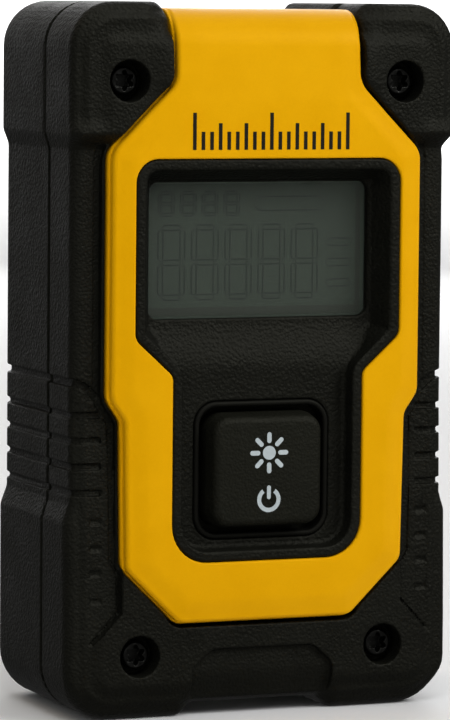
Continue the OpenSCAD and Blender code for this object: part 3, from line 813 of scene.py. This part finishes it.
def segment(x0, z0, x1, z1, stroke, line):
    """The outline of one display segment: a thin closed band round a stroke with pointed ends."""
    angle = math.atan2(z1 - z0, x1 - x0)
    along, across = Vector((math.cos(angle), math.sin(angle))), Vector((-math.sin(angle), math.cos(angle)))
    a, b = Vector((x0, z0)), Vector((x1, z1))
    rings = []
    for half in (stroke / 2, stroke / 2 - line):
        rings.append([a - along * half * 0.9, a + across * half, b + across * half, b + along * half * 0.9,
                      b - across * half, a - across * half])
    return [[tuple(rings[0][k]), tuple(rings[0][k - 1]), tuple(rings[1][k - 1]), tuple(rings[1][k])]
            for k in range(6)]


def digit(x, z, width, height, stroke, line):
    """The outlines of the seven segments of one digit."""
    gap, half = stroke * 0.62, height / 2
    shapes = []
    for k in range(3):
        shapes += segment(x + gap, z + k * half, x + width - gap, z + k * half, stroke, line)
    for side in (0, width):
        for k in range(2):
            shapes += segment(x + side, z + k * half + gap, x + side, z + (k + 1) * half - gap, stroke, line)
    return shapes


segments = []
for k in range(5):
    segments += digit(-10.9 + 3.85 * k, 44.7, 2.5, 7.4, 0.72, 0.17)
for k in range(4):
    segments += digit(-11.0 + 2.5 * k, 53.5, 1.5, 2.3, 0.45, 0.14)
for k in range(3):
    segments += segment(8.6, 46.0 + 2.2 * k, 10.9, 46.0 + 2.2 * k, 0.9, 0.12)
segments += segment(0.4, 54.6, 7.6, 54.6, 1.6, 0.12)
PANEL_Y = -8.05
border = [[(-12.3, 42.75), (12.3, 42.75), (12.3, 43.6), (-12.3, 43.6)],
          [(11.75, 43.6), (12.3, 43.6), (12.3, 56.6), (11.75, 56.6)]]
place(raised_print("display_border", border, lambda x, z: PANEL_Y, 0.015), "housing", "display_panel",
      material=SEGMENT_BORDER)
place(raised_print("display_segments", segments, lambda x, z: PANEL_Y, 0.02), "housing", "display_panel",
      material=SEGMENT_DARK)

# ---------- stage, light and camera ----------

YAW, PITCH, ROLL = 0.39722, 0.08379, 0.009346
TARGET = Vector((0.32, 0.7, 37.12)) * MM
DISTANCE = 459.84 * MM
LENS_MM = 210.9
STAGE_HALF = 3.0


def add_camera():
    forward = Vector((math.sin(YAW) * math.cos(PITCH), math.cos(YAW) * math.cos(PITCH), -math.sin(PITCH)))
    level = Vector((math.cos(YAW), -math.sin(YAW), 0))
    upright = level.cross(forward)
    right = level * math.cos(ROLL) + upright * math.sin(ROLL)
    up = upright * math.cos(ROLL) - level * math.sin(ROLL)
    data = bpy.data.cameras.new("camera")
    data.sensor_width = 36
    data.lens = LENS_MM
    data.clip_start, data.clip_end = 0.01, 10
    camera = bpy.data.objects.new("camera", data)
    bpy.context.scene.collection.objects.link(camera)
    turn = Matrix((right, up, -forward)).transposed().to_4x4()
    camera.matrix_world = Matrix.Translation(TARGET - forward * DISTANCE) @ turn
    bpy.context.scene.camera = camera


def add_area(name, place_mm, aim_mm, size_mm, watts, colour=(1, 1, 1)):
    data = bpy.data.lights.new(name, "AREA")
    data.energy, data.size, data.color = watts, size_mm * MM, colour
    light = bpy.data.objects.new(name, data)
    bpy.context.scene.collection.objects.link(light)
    light.location = Vector(place_mm) * MM
    aim = (Vector(aim_mm) - Vector(place_mm)).normalized()
    light.rotation_mode = "QUATERNION"
    light.rotation_quaternion = aim.to_track_quat("-Z", "Y")


def add_stage(name, profile, material):
    """One strip of the studio along a profile of (y, z) in metres."""
    points = [(x, y, z) for y, z in profile for x in (-STAGE_HALF, STAGE_HALF)]
    faces = [(2 * k, 2 * k + 1, 2 * k + 3, 2 * k + 2) for k in range(len(profile) - 1)]
    mesh = bpy.data.meshes.new(name)
    mesh.from_pydata(points, [], faces)
    mesh.polygons.foreach_set("use_smooth", np.ones(len(faces), bool))
    mesh.materials.append(material)
    strip = bpy.data.objects.new(name, mesh)
    bpy.context.scene.collection.objects.link(strip)
    return strip


def add_floor():
    """A floor, and a backdrop that it curves up into well behind the object."""
    bend, start, top = 0.8, 2.0, 1.6
    curve = [(start, 0.0)]
    for k in range(1, 13):
        a = math.radians(90 * k / 12)
        curve.append((start + bend * math.sin(a), bend * (1 - math.cos(a))))
    curve.append((start + bend, top))
    material, tree, shader = new_material("floor_paper", 0.9)
    where = object_mm(tree)
    tone = noise(tree, where, 0.02, 3)
    tree.links.new(blend(tree, tone, (0.90, 0.90, 0.90), (0.93, 0.93, 0.93)), shader.inputs["Base Color"])
    floor = add_stage("floor", [(-STAGE_HALF, 0), (start, 0)], material)
    # The floor lights the object, but its gloss shows only the backdrop
    floor.visible_glossy = False
    add_stage("backdrop", curve, material)


def add_world():
    world = bpy.data.worlds.new("studio")
    world.use_nodes = True
    world.node_tree.nodes["Background"].inputs["Color"].default_value = (1, 1, 1, 1)
    world.node_tree.nodes["Background"].inputs["Strength"].default_value = 0.13
    bpy.context.scene.world = world
    bpy.context.scene.view_settings.view_transform = "Standard"


add_camera()
add_floor()
add_world()
add_area("key_light", (300, -330, 330), (0, 0, 42), 240, 1.32)
add_area("front_top_light", (-80, -380, 560), (0, 0, 38), 300, 1.12)
add_area("fill_light", (-420, -480, 200), (0, 0, 38), 420, 0.32)
add_area("side_light", (-190, 130, 320), (-22, 5, 70), 160, 0.11, (1.0, 0.84, 0.66))
add_area("top_light", (0, 60, 560), (0, 0, 38), 360, 0.4)
add_area("back_light", (300, 620, 260), (0, 8, 38), 360, 0.7)
add_area("backdrop_light", (1200, 1500, 1500), (1200, 2500, 200), 1000, 55)
